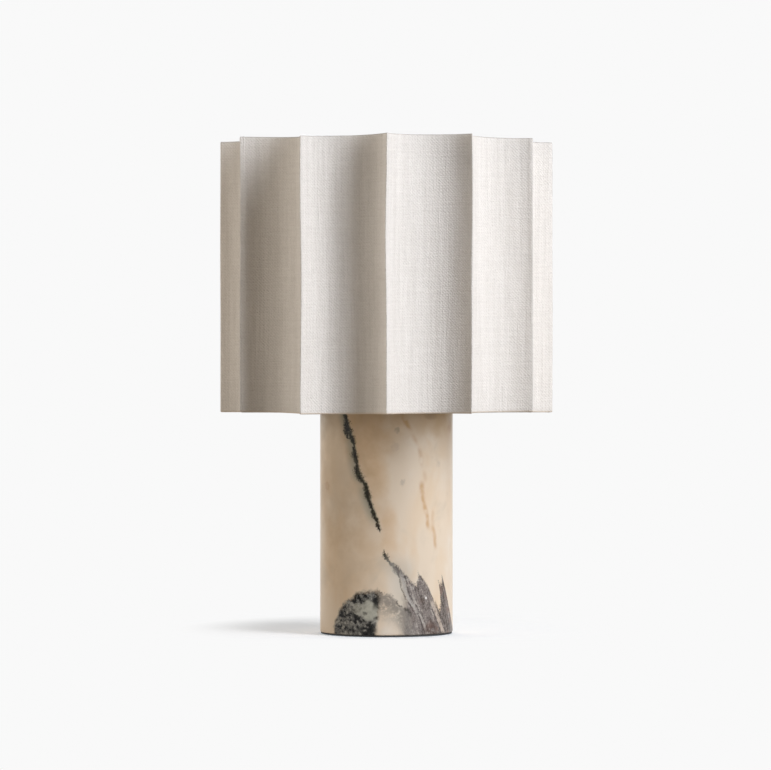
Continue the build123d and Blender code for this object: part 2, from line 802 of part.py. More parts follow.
# Finial: knurled brass knob on the stud
with BuildPart() as finial:
    with Locations((0, 0, finial_bottom)):
        Cylinder(finial_foot_diameter / 2, finial_foot_height, align=STANDING)
    with Locations((0, 0, finial_bottom + finial_foot_height)):
        Cylinder(finial_knob_diameter / 2, finial_knob_height, align=STANDING)
    fillet(finial.edges().group_by(Axis.Z)[-1], finial_edge)
    with Locations((0, 0, finial_bottom + finial_foot_height)):
        with PolarLocations(finial_knob_diameter / 2, knurl_count):
            Cylinder(knurl_radius, finial_knob_height, align=STANDING, mode=Mode.SUBTRACT)
    with Locations((0, 0, finial_bottom)):
        Cylinder(
            stud_diameter / 2 + finial_fit,
            stud_in_finial + finial_bore_spare,
            align=STANDING,
            mode=Mode.SUBTRACT,
        )

pieces = {
    "foot_pad": foot_pad,
    "marble_column": marble_column,
    "threaded_inserts": threaded_inserts,
    "base_plate": base_plate,
    "base_plate_screws": base_plate_screws,
    "battery_holder": battery_holder,
    "battery_cells": battery_cells,
    "battery_contacts": battery_contacts,
    "control_board": control_board,
    "board_screws": board_screws,
    "board_components": board_components,
    "wire_connectors": wire_connectors,
    "port_lead": port_lead,
    "battery_lead": battery_lead,
    "led_lead": led_lead,
    "port_bezel": port_bezel,
    "port_board": port_board,
    "usb_socket": usb_socket,
    "usb_tongue": usb_tongue,
    "indicator_chip": indicator_chip,
    "indicator_lens": indicator_lens,
    "tact_switch": tact_switch,
    "power_button": power_button,
    "switch_plunger": switch_plunger,
    "stem_tube": stem_tube,
    "stem_washer": stem_washer,
    "stem_nut": stem_nut,
    "column_cap": column_cap,
    "stem_collar": stem_collar,
    "light_dish": light_dish,
    "terminal_block": terminal_block,
    "light_core": light_core,
    "light_strips": light_strips,
    "light_chips": light_chips,
    "opal_sleeve": opal_sleeve,
    "light_lid": light_lid,
    "shade_stud": shade_stud,
    "seat_nut": seat_nut,
    "seat_washer": seat_washer,
    "shade_linen": shade_linen,
    "shade_liner": shade_liner,
    "top_ring": top_ring,
    "bottom_ring": bottom_ring,
    "spider_hub": spider_hub,
    "spider_arms": spider_arms,
    "finial_washer": finial_washer,
    "finial": finial,
}

os.makedirs("parts", exist_ok=True)
for piece_name, piece in pieces.items():
    piece.part.label = piece_name
    export_step(piece.part, f"parts/{piece_name}.step")
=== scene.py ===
import math

import bpy
from mathutils import Matrix, Vector


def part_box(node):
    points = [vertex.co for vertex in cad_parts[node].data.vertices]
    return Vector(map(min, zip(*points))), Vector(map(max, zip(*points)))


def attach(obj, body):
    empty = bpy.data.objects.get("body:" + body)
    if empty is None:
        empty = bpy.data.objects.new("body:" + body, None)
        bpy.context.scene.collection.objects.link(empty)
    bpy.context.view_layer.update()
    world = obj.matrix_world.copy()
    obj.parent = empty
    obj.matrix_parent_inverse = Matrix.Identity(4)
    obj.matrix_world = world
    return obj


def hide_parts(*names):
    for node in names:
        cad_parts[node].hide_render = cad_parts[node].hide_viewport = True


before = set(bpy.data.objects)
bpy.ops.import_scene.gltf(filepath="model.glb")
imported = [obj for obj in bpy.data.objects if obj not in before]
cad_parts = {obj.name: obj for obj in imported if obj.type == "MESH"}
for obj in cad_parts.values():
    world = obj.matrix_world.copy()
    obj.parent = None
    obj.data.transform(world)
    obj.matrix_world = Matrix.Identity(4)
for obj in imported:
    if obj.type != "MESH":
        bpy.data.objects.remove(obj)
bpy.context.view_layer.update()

# Stone column: one turned, honed length of cream marble, cored from below for the battery.
# A dark green vein runs down its front, and at its foot lie a speckled grey clast and slanting
# beds of grey stone whose tips rise like flames. It is the body that everything else is fixed to.
MM = 0.001
column_low, column_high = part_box("marble_column")
column_radius = (column_high.x - column_low.x) / 2


def new_finish(name):
    """A fresh material, with its node tree and its main shader."""
    material = bpy.data.materials.new(name)
    material.use_nodes = True
    tree = material.node_tree
    return material, tree, tree.nodes["Principled BSDF"]


def feed(tree, socket, value):
    """Links a value that comes from a node, or writes a plain one on the socket."""
    if isinstance(value, bpy.types.NodeSocket):
        tree.links.new(value, socket)
    else:
        socket.default_value = value


def calc(tree, operation, *values):
    """Works out one operation on values that come from nodes or are plain."""
    node = tree.nodes.new("ShaderNodeMath")
    node.operation = operation
    for socket, value in zip(node.inputs, values):
        feed(tree, socket, value)
    return node.outputs[0]


def times(tree, first, *others):
    """The product of several values."""
    for other in others:
        first = calc(tree, "MULTIPLY", first, other)
    return first


def plus(tree, first, *others):
    """The sum of several values."""
    for other in others:
        first = calc(tree, "ADD", first, other)
    return first


def minus(tree, value, less):
    """One value less another."""
    return calc(tree, "SUBTRACT", value, less)


def mixture(tree, *shares):
    """The sum of several patterns, each taken by its share."""
    return plus(tree, *[times(tree, pattern, share) for pattern, share in shares])


def distance(tree, x, y):
    """The straight distance over two sides of a right angle."""
    return calc(tree, "SQRT", plus(tree, times(tree, x, x), times(tree, y, y)))


def soft_step(tree, value, start, end):
    """Rises smoothly from 0 at start to 1 at end."""
    node = tree.nodes.new("ShaderNodeMapRange")
    node.interpolation_type = "SMOOTHSTEP"
    for socket, given in zip(node.inputs, (value, start, end)):
        feed(tree, socket, given)
    return node.outputs[0]


def cloud(tree, vector, scale, detail=2.0, roughness=0.5, distortion=0.0):
    """Noise from 0 to 1 with a given number of cells to the metre."""
    node = tree.nodes.new("ShaderNodeTexNoise")
    feed(tree, node.inputs["Vector"], vector)
    feed(tree, node.inputs["Scale"], scale)
    feed(tree, node.inputs["Detail"], detail)
    feed(tree, node.inputs["Roughness"], roughness)
    feed(tree, node.inputs["Distortion"], distortion)
    return node.outputs[0]


def stray(tree, vector, scale, reach, detail=2.0, roughness=0.5):
    """Noise that strays to both sides of zero, with its reach from end to end."""
    return times(tree, minus(tree, cloud(tree, vector, scale, detail, roughness), 0.5), reach)


def point(tree, x, y, z=0.0):
    """A place from its three coordinates."""
    node = tree.nodes.new("ShaderNodeCombineXYZ")
    for socket, value in zip(node.inputs, (x, y, z)):
        feed(tree, socket, value)
    return node.outputs[0]


def full_colour(colour):
    """A colour that comes from a node as it is, or a plain one made opaque."""
    return colour if isinstance(colour, bpy.types.NodeSocket) else (*colour, 1.0)


def paint(tree, amount, under, over, mode="MIX"):
    """Lays one colour over another by an amount from 0 to 1."""
    node = tree.nodes.new("ShaderNodeMix")
    node.data_type = "RGBA"
    node.blend_type = mode
    feed(tree, node.inputs[0], amount)
    feed(tree, node.inputs[6], full_colour(under))
    feed(tree, node.inputs[7], full_colour(over))
    return node.outputs[2]


def follow(tree, value, points, least, most, straight=False):
    """Reads a drawn line: points are (value, result), and results lie between least and most."""
    start = points[0][0]
    span = points[-1][0] - start
    node = tree.nodes.new("ShaderNodeFloatCurve")
    share = calc(tree, "DIVIDE", minus(tree, value, start), span)
    feed(tree, node.inputs["Value"], calc(tree, "MINIMUM", calc(tree, "MAXIMUM", share, 0.0), 1.0))
    line = node.mapping.curves[0]
    for _ in points[2:]:
        line.points.new(0.5, 0.5)
    for knot, (where, result) in zip(line.points, points):
        knot.location = ((where - start) / span, (result - least) / (most - least))
        knot.handle_type = "VECTOR" if straight else "AUTO"
    node.mapping.update()
    return plus(tree, times(tree, node.outputs[0], most - least), least)


def object_coordinates(tree):
    """The place on the object as one vector and as x, y and z in metres."""
    coordinates = tree.nodes.new("ShaderNodeTexCoord").outputs["Object"]
    split = tree.nodes.new("ShaderNodeSeparateXYZ")
    feed(tree, split.inputs[0], coordinates)
    return coordinates, *split.outputs


marble, tree, shader = new_finish("cream_marble")
place, east, north, up = object_coordinates(tree)
height = calc(tree, "DIVIDE", up, MM)
south = times(tree, north, -1.0)
west = times(tree, east, -1.0)
to_right = times(tree, calc(tree, "ARCTAN2", east, south), column_radius / MM)
to_left = times(tree, calc(tree, "ARCTAN2", west, north), column_radius / MM)

# The cream ground drifts between pale, peach and a greyer tan in clouds a few centimetres across.
cream = (0.81, 0.69, 0.55)
pale = (0.85, 0.77, 0.665)
peach = (0.77, 0.575, 0.375)
tan = (0.62, 0.53, 0.42)
peach_strength = 0.55
tan_strength = 0.5
drift = cloud(tree, place, 22.0, 3.0, 0.55, 0.6)
ground = paint(tree, soft_step(tree, drift, 0.48, 0.72), cream, pale)
shifted = point(tree, plus(tree, east, 0.31), north, times(tree, up, 0.6))
drift = soft_step(tree, cloud(tree, shifted, 30.0, 3.0, 0.5, 0.8), 0.50, 0.74)
ground = paint(tree, times(tree, drift, peach_strength), ground, peach)
shifted = point(tree, east, plus(tree, north, 0.57), up)
drift = soft_step(tree, cloud(tree, shifted, 38.0, 4.0, 0.6, 0.4), 0.54, 0.78)
ground = paint(tree, times(tree, drift, tan_strength), ground, tan)


def smudge(across, level, wide, tall, wobble):
    """1 inside a soft oval on the stone, in millimetres across and up, and 0 outside it."""
    x = calc(tree, "DIVIDE", minus(tree, to_right, across), wide)
    z = calc(tree, "DIVIDE", minus(tree, height, level), tall)
    reach = plus(tree, times(tree, x, x), times(tree, z, z), wobble)
    return soft_step(tree, reach, 1.6, -0.2)


def spotted(ground, wobble, marks):
    """Lays soft marks on the stone, each with its place, half width, half height, colour and strength."""
    for across, level, wide, tall, tint, strength in marks:
        amount = times(tree, smudge(across, level, wide, tall, wobble), strength)
        ground = paint(tree, amount, ground, tint)
    return ground


# Wide warm stains lie along the top and down the left of the front, with small, ragged grey and
# brown marks between them. The broad tan and brown marks down the left and under the shade's rim
# are painted shade: they darken the side turned from the key light and the band that the shade shadows.
blot = stray(tree, place, 100.0, 2.0, 3.0)
ground = spotted(ground, blot, (
    (-14.0, 132.0, 16.0, 30.0, (0.60, 0.36, 0.15), 0.53),
    (-6.0, 104.0, 8.0, 18.0, (0.68, 0.47, 0.27), 0.40),
    (2.0, 66.0, 6.0, 18.0, (0.72, 0.50, 0.30), 0.52),
    (-12.0, 74.0, 14.0, 28.0, (0.58, 0.43, 0.28), 0.34),
    (0.0, 124.0, 14.0, 14.0, (0.55, 0.42, 0.29), 0.24),
    # Painted shade: a broad tan darkening down the left of the front, the side turned from the key light.
    (-36.0, 108.0, 26.0, 56.0, (0.50, 0.385, 0.26), 0.52),
    # Painted shade under the shade's rim at the top left.
    (-40.0, 140.0, 20.0, 15.0, (0.50, 0.37, 0.23), 0.20),
    (46.0, 128.0, 12.0, 22.0, (0.66, 0.46, 0.26), 0.28),
    # Painted shade: a peach warming of the lower left, the colour of the shaded side.
    (-26.0, 48.0, 26.0, 34.0, (0.70, 0.46, 0.23), 0.24),
    # Painted shade: a warm brown band under the shade's rim at the top right, where its shadow falls.
    (28.0, 141.0, 28.0, 14.0, (0.60, 0.40, 0.20), 0.50),
    (31.0, 141.0, 5.0, 2.4, (0.40, 0.25, 0.15), 0.45),
    (54.0, 134.0, 4.0, 4.0, (0.58, 0.37, 0.22), 0.40),
))
crumble = stray(tree, place, 480.0, 4.0, 3.0, 0.55)
ground = spotted(ground, crumble, (
    (7.0, 132.0, 1.8, 2.0, (0.22, 0.17, 0.12), 0.36),
    (5.5, 121.5, 2.6, 3.2, (0.44, 0.32, 0.26), 0.22),
    (10.6, 98.5, 1.8, 2.4, (0.36, 0.31, 0.27), 0.34),
    (38.0, 110.0, 2.2, 2.0, (0.44, 0.38, 0.32), 0.22),
    (-47.0, 96.0, 3.6, 4.0, (0.48, 0.31, 0.20), 0.40),
))


def away_from(line, most, waver):
    """How far the stone lies from a wavering line on the front that is drawn by height."""
    middle = plus(tree, follow(tree, height, line, 0.0, most), waver)
    return calc(tree, "ABSOLUTE", minus(tree, to_right, middle))


def along_line(line, outside, inside):
    """1 between the two ends of a line that is drawn by height, fading near each end."""
    bottom, top = line[0][0], line[-1][0]
    return times(tree, soft_step(tree, height, bottom - outside, bottom + inside),
                 soft_step(tree, height, top + outside, top - inside))


# Rust-coloured seams are short, soft brown strokes that follow each other down the right of the front.
# Each is drawn by its height and its place round the column.
rust = (0.56, 0.31, 0.12)
stroke_span = 40.0
stroke_half_width = 2.7
stroke_fade = 5
waver = stray(tree, place, 110.0, 3.0, 3.0)
patchy = soft_step(tree, cloud(tree, place, 120.0, 2.0), 0.26, 0.52)
for line, strength in (
    ([(130, 16.6), (133, 15.2), (136, 13.4), (144, 10.2)], 0.64),
    ([(121, 21.2), (124, 19.8), (128, 17.8), (132, 16.0)], 0.34),
    ([(107, 24.4), (110, 23.8), (115, 23.2), (123, 21.4)], 0.42),
    ([(97, 26.8), (102, 26.0), (108, 25.2)], 0.26),
    ([(67, 29.4), (73.5, 28.3), (80, 26.8), (88, 24.8), (95, 23.9), (101, 23.6)], 0.64),
    ([(70, 33.4), (76, 32.8), (84, 31.8)], 0.26),
    ([(54, 35.8), (58, 35.2), (62, 34.4), (68, 33.4), (73, 32.8)], 0.54),
):
    stroke = soft_step(tree, away_from(line, stroke_span, waver), stroke_half_width, 0.0)
    amount = times(tree, stroke, along_line(line, 0, stroke_fade), patchy, strength)
    ground = paint(tree, amount, ground, rust)

# Faint rust hairlines run through the sides and back of the block, steeper than they are wide.
web_strength = 0.28
web = cloud(tree, point(tree, east, north, times(tree, up, 0.20)), 30.0, 2.0, 0.4, 0.2)
web = soft_step(tree, calc(tree, "ABSOLUTE", minus(tree, web, 0.5)), 0.016, 0.0)
sparse = times(tree, soft_step(tree, cloud(tree, place, 17.0, 1.0), 0.45, 0.60),
               soft_step(tree, north, -0.030, 0.0))
ground = paint(tree, times(tree, web, sparse, web_strength), ground, rust)

# Dark veins: crushed green-black mineral with ragged, grainy edges, a grey halo on the left bank and
# a peach stain on the right one. One crosses the front, where a short second strand joins it near
# the top, and a thinner one crosses the back.
vein_black = (0.007, 0.005, 0.003)
vein_green = (0.040, 0.040, 0.022)
vein_strength = 0.96
vein_span = 40.0
halo = (0.33, 0.315, 0.25)
halo_strength = 0.92
stain = (0.66, 0.45, 0.26)
stain_strength = 0.45


def vein_banks(ground, along, line):
    """The stone beside a vein whose middle is drawn by height, in millimetres."""
    offset = minus(tree, along, follow(tree, height, line, -vein_span, vein_span))
    warm = times(tree, soft_step(tree, offset, -1.0, 1.5), soft_step(tree, offset, 18.0, 2.0))
    patches = soft_step(tree, cloud(tree, place, 40.0, 2.0), 0.36, 0.62)
    ground = paint(tree, times(tree, warm, patches, stain_strength), ground, stain)
    grey = times(tree, soft_step(tree, offset, -8.5, -0.5), soft_step(tree, offset, 2.5, 0.5))
    patches = soft_step(tree, cloud(tree, place, 75.0, 2.0), 0.08, 0.50)
    upper = soft_step(tree, height, 66.0, 80.0)
    return paint(tree, times(tree, grey, patches, upper, halo_strength), ground, halo)


def vein_strand(ground, along, line, widths):
    """A dark strand whose middle and half width are drawn by height, in millimetres."""
    bends = stray(tree, place, 190.0, 2.6)
    crumbs = stray(tree, place, 620.0, 2.6, 2.0, 0.6)
    grains = stray(tree, place, 1500.0, 3.6, 2.0, 0.6)
    middle = plus(tree, follow(tree, height, line, -vein_span, vein_span), bends, crumbs)
    swell = soft_step(tree, cloud(tree, place, 240.0, 1.5, 0.5), 0.32, 0.68)
    swell = plus(tree, times(tree, swell, 0.65), 0.80)
    width = times(tree, follow(tree, height, widths, 0.0, 4.0), swell)
    away = calc(tree, "ABSOLUTE", minus(tree, along, middle))
    away = plus(tree, away, times(tree, grains, width))
    mark = soft_step(tree, away, times(tree, width, 2.2), times(tree, width, 0.50))
    mark = times(tree, mark, soft_step(tree, width, 0.05, 0.50), vein_strength)
    green = soft_step(tree, cloud(tree, place, 700.0, 2.0), 0.48, 0.64)
    return paint(tree, mark, ground, paint(tree, green, vein_black, vein_green))


front_vein = [(38, 11), (43, 6.5), (46, 4), (50, 0.2), (55, -1.6), (62, -3), (68, -4.2), (74, -6.3),
              (80, -8.5), (86, -11), (92, -12.8), (97, -13.6), (100, -16), (103, -18), (109, -19.8),
              (116, -21), (123, -22.3), (130, -24.3), (136, -26.8), (143, -29), (160, -34)]
front_vein_widths = [
    (34, 0.0), (37, 0.5), (39, 1.1), (42, 1.6), (44, 1.1), (46, 1.3), (48.5, 0.5), (51, 0.8), (54, 0.45),
    (58, 0.06), (65, 0.06), (70, 0.7), (80, 0.9), (86, 0.9), (93, 1.4), (97, 0.8), (102, 1.7), (108, 0.9),
    (117, 1.1), (121, 0.5), (124, 1.0), (131, 1.3), (136, 1.3), (141, 1.1), (160, 1.1)]
second_strand = [(126, -26.6), (131, -27.4), (138, -27.6)]
second_strand_widths = [(126, 0.0), (128, 0.7), (132, 1.1), (136, 0.9), (138, 0.0)]
rear_vein = [(0, 34), (22, 26), (45, 21), (62, 12), (80, 8), (104, -4), (122, -9), (142, -20), (160, -27)]
rear_vein_widths = [(0, 0.9), (18, 0.5), (40, 1.2), (58, 0.2), (74, 1.0), (98, 1.5), (118, 0.5), (160, 1.1)]
ground = vein_banks(ground, to_right, front_vein)
ground = vein_strand(ground, to_right, front_vein, front_vein_widths)
ground = vein_strand(ground, to_right, second_strand, second_strand_widths)
ground = vein_banks(ground, to_left, rear_vein)
ground = vein_strand(ground, to_left, rear_vein, rear_vein_widths)

# Slanting beds: grey and mauve stone in bands and streaks. Their upper ends break off in dark,
# pointed tips, and on the left they fade into the cream.
bed_slant = 0.39
bed_span = 60.0
bed_dark = (0.052, 0.042, 0.041)
bed_mid = (0.225, 0.198, 0.188)
bed_pale = (0.49, 0.455, 0.415)
bed_rust = (0.22, 0.140, 0.115)
bed_strength = 0.95
bed_rusting = [(-60, 0.6), (8, 0.5), (22, 0.35), (34, 0.9), (60, 0.95)]
bed_lightness = [(-60, 0.05), (8, 0.08), (18, 0.08), (24, 0.05), (30, 0.055), (35, 0.02), (40, 0.01),
                 (60, 0.05)]
middle_lightness = 0.05
tip_strength = 0.75
flecks = cloud(tree, place, 430.0, 4.0, 0.65)


def slanting_beds(ground, along, tops, starts):
    """Lays beds over the ground. Their tops are heights by the place across the beds, and they
    start at a line that is drawn by height."""
    across = plus(tree, along, times(tree, height, bed_slant))
    grains = stray(tree, place, 1400.0, 1.0, 2.0, 0.6)
    fray = plus(tree, stray(tree, place, 300.0, 8.0, 4.0, 0.65), times(tree, grains, 9.0))
    tip = plus(tree, follow(tree, across, tops, 0.0, bed_span, straight=True), fray)
    below = minus(tree, tip, height)
    begun = minus(tree, plus(tree, along, times(tree, fray, 0.35)),
                  follow(tree, height, starts, -bed_span, bed_span))
    inside = times(tree, soft_step(tree, below, -1.5, 2.2), soft_step(tree, begun, -3.0, 4.0))
    swayed = plus(tree, across, stray(tree, place, 70.0, 7.0, 3.0, 0.55))
    bands = point(tree, times(tree, swayed, 0.30), times(tree, height, 0.022))
    streaks = point(tree, times(tree, swayed, 0.80), times(tree, height, 0.10))
    tone = mixture(tree, (cloud(tree, bands, 1.0, 2.0, 0.5), 0.32),
                   (cloud(tree, streaks, 1.0, 3.0, 0.6), 0.34), (flecks, 0.34))
    lighter = minus(tree, follow(tree, along, bed_lightness, 0.0, 0.1), middle_lightness)
    tone = plus(tree, tone, lighter, times(tree, grains, 0.26))
    stone = paint(tree, soft_step(tree, tone, 0.39, 0.50), bed_dark, bed_mid)
    stone = paint(tree, soft_step(tree, tone, 0.51, 0.62), stone, bed_pale)
    rusty = soft_step(tree, cloud(tree, place, 95.0, 2.0), 0.52, 0.70)
    rusty = times(tree, rusty, follow(tree, along, bed_rusting, 0.0, 1.0))
    stone = paint(tree, rusty, stone, bed_rust)
    edge = times(tree, soft_step(tree, below, 7.0, 0.5), soft_step(tree, flecks, 0.62, 0.42), tip_strength)
    stone = paint(tree, edge, stone, bed_dark)
    return paint(tree, times(tree, inside, bed_strength), ground, stone)


# The cream turns a cooler grey along the left of the front beds.
front_start = [(0, 10), (8, 9.5), (15, 10.5), (22, 11.5), (30, 11), (36, 9.5), (40, 7), (44, 4), (50, 1),
               (60, -2)]
bank_grey = (0.56, 0.54, 0.48)
bank_strength = 0.50
from_start = minus(tree, to_right, follow(tree, height, front_start, -bed_span, bed_span))
bank_heights = times(tree, soft_step(tree, height, 6.0, 22.0), soft_step(tree, height, 56.0, 42.0))
bank = times(tree, soft_step(tree, from_start, -12.0, 0.0), bank_heights,
             soft_step(tree, to_right, 24.0, 12.0), bank_strength)
ground = paint(tree, bank, ground, bank_grey)

front_tops = [
    (16, 20), (19, 44), (21, 48), (23, 46), (25.9, 44), (27.6, 40), (29.4, 37), (30.8, 34.5), (32.8, 32.8),
    (33.5, 34.4), (35.2, 37.3), (37.4, 40.5), (39, 37.3), (40.2, 34.6), (41.6, 30.3), (42.3, 26),
    (42.9, 20.6), (44.6, 16.2), (46.5, 16.8), (49.4, 22), (50.8, 28.5), (51.7, 35), (53.2, 32.5),
    (55.6, 34), (57.1, 39.5), (57.7, 33), (58.2, 27), (58.8, 19.5), (60, 13), (62.5, 6), (68, 3), (76, 6),
    (90, 3), (100, 5), (110, 0)]
rear_tops = [(-46, 0), (-41, 7), (-34, 2), (-22, 14), (-17, 25), (-14.5, 17), (-8, 36), (-4.5, 27), (2, 15),
             (12, 5), (20, 9), (30, 0)]
rear_start = [(0, -36), (20, -42), (60, -56)]
ground = slanting_beds(ground, to_right, front_tops, front_start)
ground = slanting_beds(ground, to_left, rear_tops, rear_start)

# Pale seams run down the beds, each between two broken dark hairlines. One is as warm as the cream.
seam_wave = stray(tree, place, 140.0, 3.6, 3.0, 0.6)
seam_gap = 0.7
seam_dark = 0.62
for line, half_width, tint, strength in (
    ([(13, 22.0), (15.6, 20.2), (18.9, 18.4), (21.8, 15.9), (24.7, 14.2), (29.3, 12.7), (35.3, 11.1),
      (42, 9.2)], 1.3, (0.50, 0.475, 0.44), 0.75),
    ([(1, 29.0), (3.1, 27.5), (10.3, 24.3), (17, 21.5)], 0.8, bed_pale, 0.75),
    ([(0, 45.0), (4, 42.2), (10.6, 38.3), (19, 33.9), (23, 32.4)], 2.0, (0.60, 0.51, 0.43), 0.85),
):
    away = away_from(line, bed_span, seam_wave)
    ends = along_line(line, 1, 3)
    hairline = calc(tree, "ABSOLUTE", minus(tree, away, half_width + seam_gap))
    hairline = times(tree, soft_step(tree, hairline, 0.9, 0.1), soft_step(tree, flecks, 0.64, 0.50),
                     ends, seam_dark)
    ground = paint(tree, hairline, ground, bed_dark)
    seam = soft_step(tree, away, half_width + 0.5, half_width - 0.8)
    seam = times(tree, seam, ends, soft_step(tree, flecks, 0.26, 0.58), strength)
    ground = paint(tree, seam, ground, tint)

# The beds' lower right is stained a dark red brown, and one white crystal shines between the seams.
foot_rust = (0.115, 0.075, 0.062)
foot_rust_strength = 0.8
crystal = (0.88, 0.87, 0.85)
rust_foot = times(tree, smudge(31.5, 4.5, 6.5, 6.0, blot), soft_step(tree, flecks, 0.66, 0.46),
                  foot_rust_strength)
ground = paint(tree, rust_foot, ground, foot_rust)
ground = paint(tree, smudge(27.1, 24.6, 0.8, 0.9, 0.0), ground, crystal)

# A grey haze trails from the top of the speckled clast toward the beds, with dark specks along its
# upper edge.
haze_grey = (0.25, 0.23, 0.205)
haze_strength = 0.84
haze_speck = (0.07, 0.065, 0.055)
haze_speck_strength = 0.8
haze_span = 40.0
haze_top = [(-6, 30), (-4, 28.5), (1.4, 26.5), (6.2, 23), (8.6, 20), (12.3, 17), (18, 14)]
ragged_wave = stray(tree, place, 230.0, 7.0, 4.0, 0.65)
past_haze = minus(tree, height, plus(tree, follow(tree, to_right, haze_top, 0.0, haze_span), ragged_wave))
haze_ends = times(tree, soft_step(tree, to_right, -7.0, -4.0), soft_step(tree, to_right, 20.0, 14.0))
haze = times(tree, soft_step(tree, past_haze, 1.5, -1.5), soft_step(tree, past_haze, -22.0, -4.0),
             soft_step(tree, flecks, 0.22, 0.58), haze_ends, haze_strength)
ground = paint(tree, haze, ground, haze_grey)
specks = times(tree, soft_step(tree, calc(tree, "ABSOLUTE", past_haze), 2.6, 0.4),
               soft_step(tree, flecks, 0.52, 0.40), haze_ends, haze_speck_strength)
ground = paint(tree, specks, ground, haze_speck)

# Speckled clast: a quarter-round lump of dark breccia at the foot, left of the front, with flecks of
# black and grey, a dark right edge, a broken upper edge and one clear grey-green patch.
clast_black = (0.007, 0.007, 0.007)
clast_grey = (0.160, 0.158, 0.148)
clast_pale = (0.41, 0.40, 0.36)
clast_patch = (0.53, 0.525, 0.45)
clast_middle = -5.0
clast_half_width = 33.5
clast_height = 30.5
clast_reach = 30.0
clast_edge = -7.0
clast_edge_lean = 0.13
across = calc(tree, "DIVIDE", minus(tree, to_right, clast_middle), clast_half_width)
level = calc(tree, "DIVIDE", height, clast_height)
past_arc = minus(tree, distance(tree, across, level), 1.0)
past_arc = plus(tree, times(tree, past_arc, clast_reach), ragged_wave)
past_edge = minus(tree, to_right, plus(tree, times(tree, height, clast_edge_lean), clast_edge))
past_edge = plus(tree, past_edge, times(tree, ragged_wave, 0.45))

# The two edges meet in a rounded corner.
corner_round = 5.0
apart = distance(tree, minus(tree, past_arc, past_edge), corner_round)
outside = times(tree, plus(tree, past_arc, past_edge, apart), 0.5)
clast = soft_step(tree, outside, 2.0, -1.5)
lumps = cloud(tree, place, 190.0, 3.0, 0.6, 0.6)
mosaic = mixture(tree, (lumps, 0.45), (flecks, 0.55))
lump = paint(tree, soft_step(tree, mosaic, 0.42, 0.50), clast_black, clast_grey)
lump = paint(tree, soft_step(tree, mosaic, 0.50, 0.60), lump, clast_pale)

# The clear patch has a fainter one on its left and a small dark eye.
ragged = times(tree, ragged_wave, 0.22)
patch = calc(tree, "MAXIMUM", smudge(-11.0, 16.8, 6.4, 7.4, ragged),
             times(tree, smudge(-19.0, 17.5, 5.0, 5.5, ragged), 0.55))
patch = times(tree, soft_step(tree, patch, 0.12, 0.80), plus(tree, times(tree, flecks, 0.5), 0.62))
lump = paint(tree, patch, lump, clast_patch)
dark_eye = smudge(-13.8, 15.0, 1.7, 1.2, crumble)
lump = paint(tree, times(tree, dark_eye, 0.85), lump, clast_black)

# Black mineral gathers in a slanting trail, along the right edge, at the foot and round the rim.
clast_dark_strength = 0.92
trail = plus(tree, height, times(tree, plus(tree, to_right, 22.0), 0.667), ragged_wave)
trail = soft_step(tree, calc(tree, "ABSOLUTE", minus(tree, trail, 14.0)), 2.6, 0.6)
trail = times(tree, trail, soft_step(tree, to_right, -25.0, -21.0), soft_step(tree, to_right, -9.0, -13.0))
right_rim = times(tree, soft_step(tree, past_edge, -5.6, -3.2), soft_step(tree, height, 15.0, 22.0))
foot_dark = smudge(-12.0, 3.5, 7.0, 6.5, ragged)
dark = calc(tree, "MAXIMUM", trail, calc(tree, "MAXIMUM", right_rim, foot_dark))
dark = times(tree, dark, soft_step(tree, mosaic, 0.66, 0.54))
rim = times(tree, soft_step(tree, outside, -3.2, -0.8), soft_step(tree, mosaic, 0.49, 0.43))
dark = calc(tree, "MAXIMUM", dark, rim)
lump = paint(tree, times(tree, dark, clast_dark_strength), lump, clast_black)
ground = paint(tree, clast, ground, lump)


def roughen(tree, shader, grain, least, more):
    """Makes a finish rougher by a grain that runs from 0 to 1."""
    feed(tree, shader.inputs["Roughness"], plus(tree, times(tree, grain, more), least))


def emboss(tree, shader, height, strength, depth):
    """Raises a grain on a finish from a height that runs from 0 to 1."""
    node = tree.nodes.new("ShaderNodeBump")
    feed(tree, node.inputs["Height"], height)
    feed(tree, node.inputs["Strength"], strength)
    feed(tree, node.inputs["Distance"], depth)
    feed(tree, shader.inputs["Normal"], node.outputs[0])


# A trace of iron warms the whole block. The honed surface has a low gloss that dulls slightly where
# the stone is cloudy.
iron_cast = (0.945, 0.91, 0.877)
feed(tree, shader.inputs["Base Color"], paint(tree, 1.0, ground, iron_cast, "MULTIPLY"))
roughen(tree, shader, cloud(tree, place, 60.0, 3.0, 0.6), 0.26, 0.14)
emboss(tree, shader, cloud(tree, place, 900.0, 3.0, 0.6), 0.12, 0.0002)
shader.inputs["Specular IOR Level"].default_value = 0.10


def dress(material, *nodes):
    """Gives CAD nodes a finish."""
    for name in nodes:
        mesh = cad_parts[name].data
        mesh.materials.clear()
        mesh.materials.append(material)


dress(marble, "marble_column")

# Brass: turned bar, satin, with fine lathe rings and a trace of tarnish. It makes the inserts in
# the stone, the cap and collar on the column, the power button and the finial.


def turned_metal(name, colour, dull, polish, tarnish):
    """A lathe-turned metal with fine rings round the lamp's axis and cloudy tarnish."""
    material, tree, shader = new_finish(name)
    place, east, north, up = object_coordinates(tree)
    rings = cloud(tree, point(tree, distance(tree, east, north), 0.0, up), 5200.0, 2.0, 0.6)
    bloom = cloud(tree, place, 130.0, 4.0, 0.6, 0.5)
    tarnished = times(tree, soft_step(tree, bloom, 0.45, 0.75), tarnish)
    feed(tree, shader.inputs["Base Color"], paint(tree, tarnished, colour, dull))
    roughen(tree, shader, plus(tree, rings, bloom), polish, 0.12)
    emboss(tree, shader, rings, 0.18, 0.00004)
    shader.inputs["Metallic"].default_value = 1.0
    return material


brass = turned_metal("satin_brass", (0.76, 0.58, 0.30), (0.50, 0.36, 0.17),
                     polish=0.20, tarnish=0.5)
dress(brass, "threaded_inserts", "column_cap", "stem_collar", "power_button", "finial")

